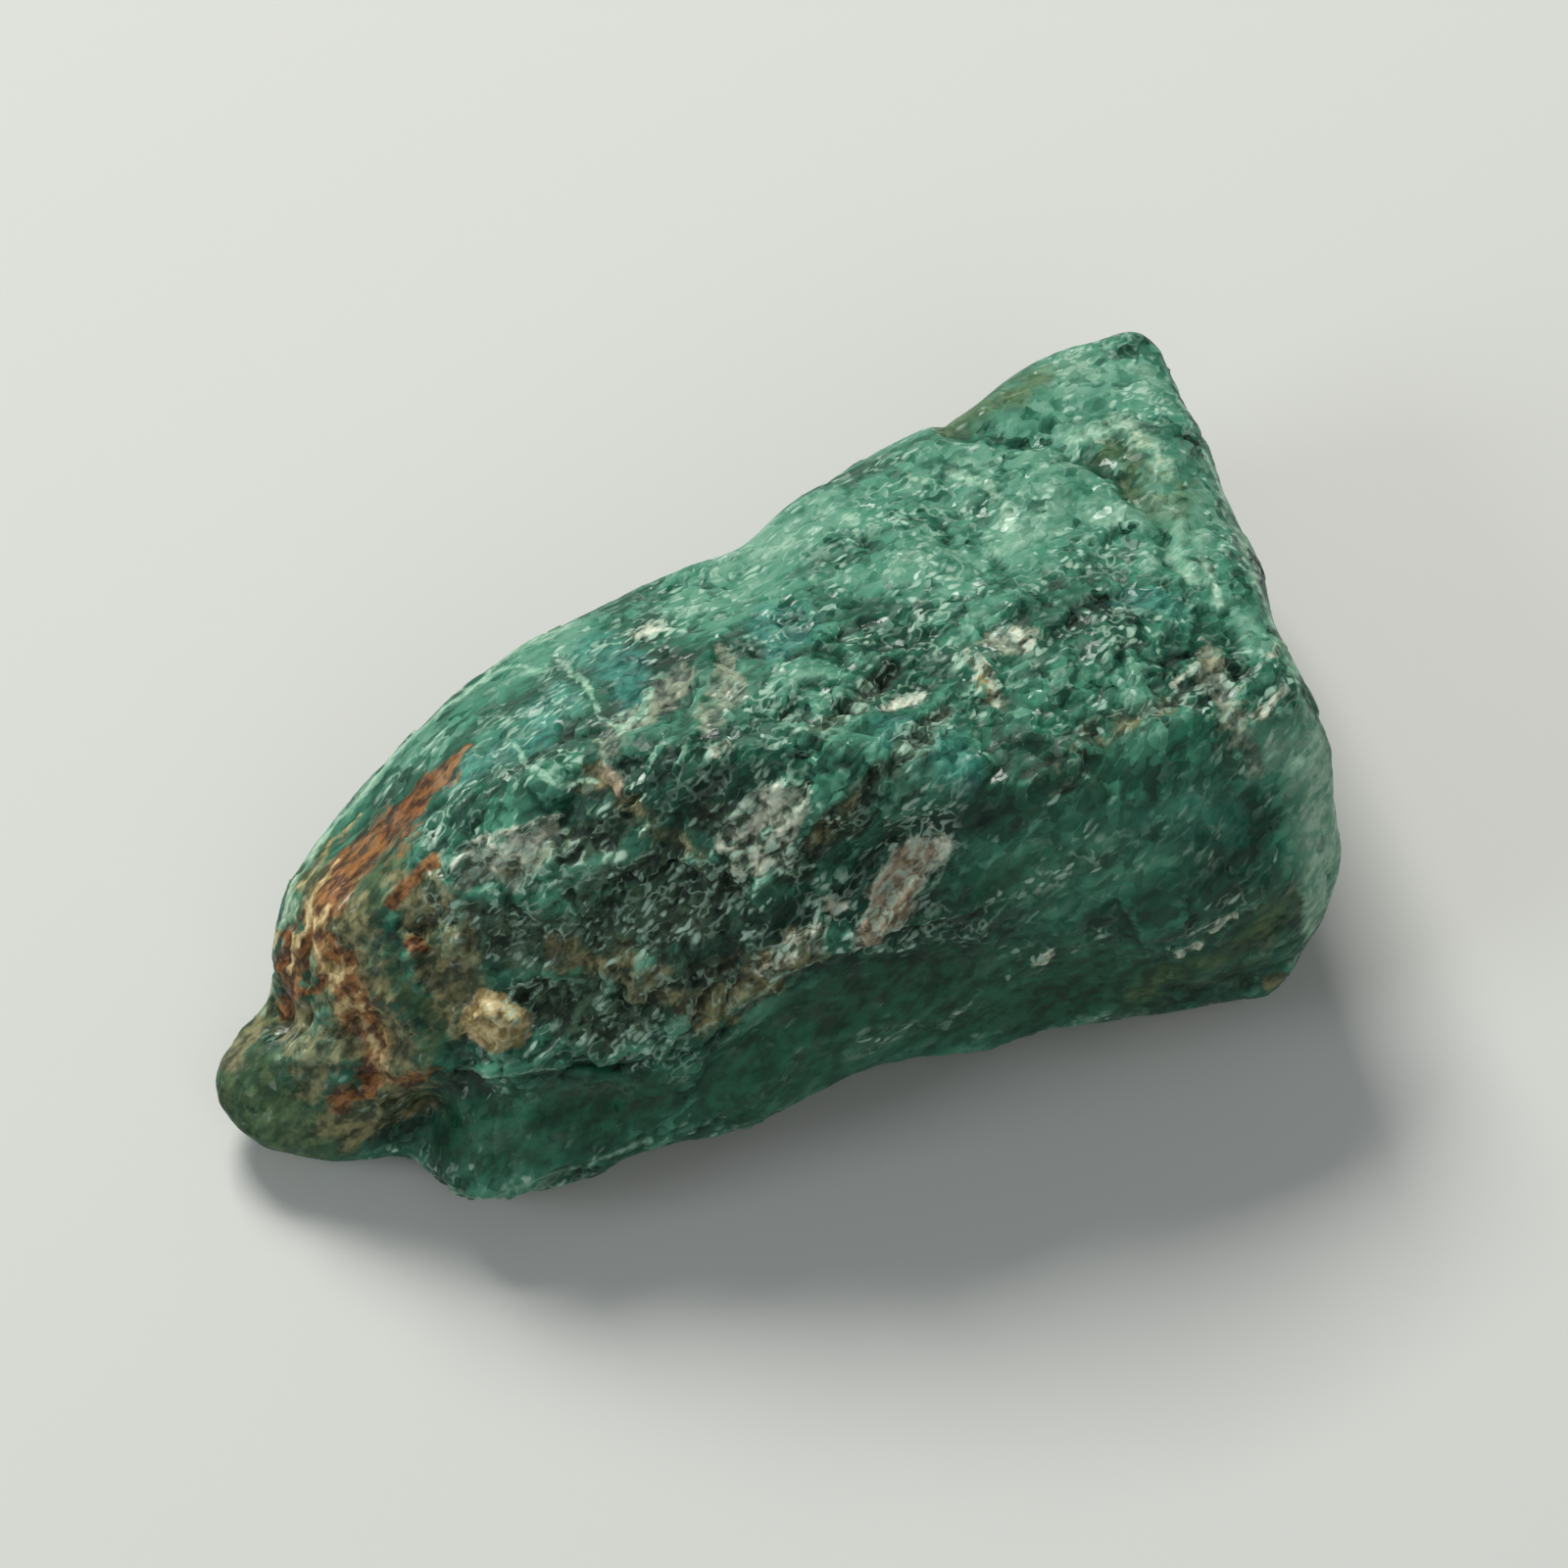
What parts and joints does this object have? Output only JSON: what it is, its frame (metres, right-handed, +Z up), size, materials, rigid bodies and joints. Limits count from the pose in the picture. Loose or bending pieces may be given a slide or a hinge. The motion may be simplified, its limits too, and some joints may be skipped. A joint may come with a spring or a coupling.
{
  "type": "rough amazonite stone",
  "caption": "One rough broken chip of green amazonite feldspar with a worn nose, a snapped end and a small flat spot that it rests on.",
  "frame": {"origin": "on the surface that the stone rests on, under the middle of its box", "axes": "+X along the stone from the worn nose to the snapped end, +Y towards its low back, +Z up"},
  "size_m": [0.0384, 0.022, 0.0152],
  "materials": {
    "amazonite": "rough broken green feldspar, sugary with small cleavage glints, rust-stained at the nose"
  },
  "bodies": {
    "root": {"amazonite": "amazonite"}
  },
  "joints": []
}
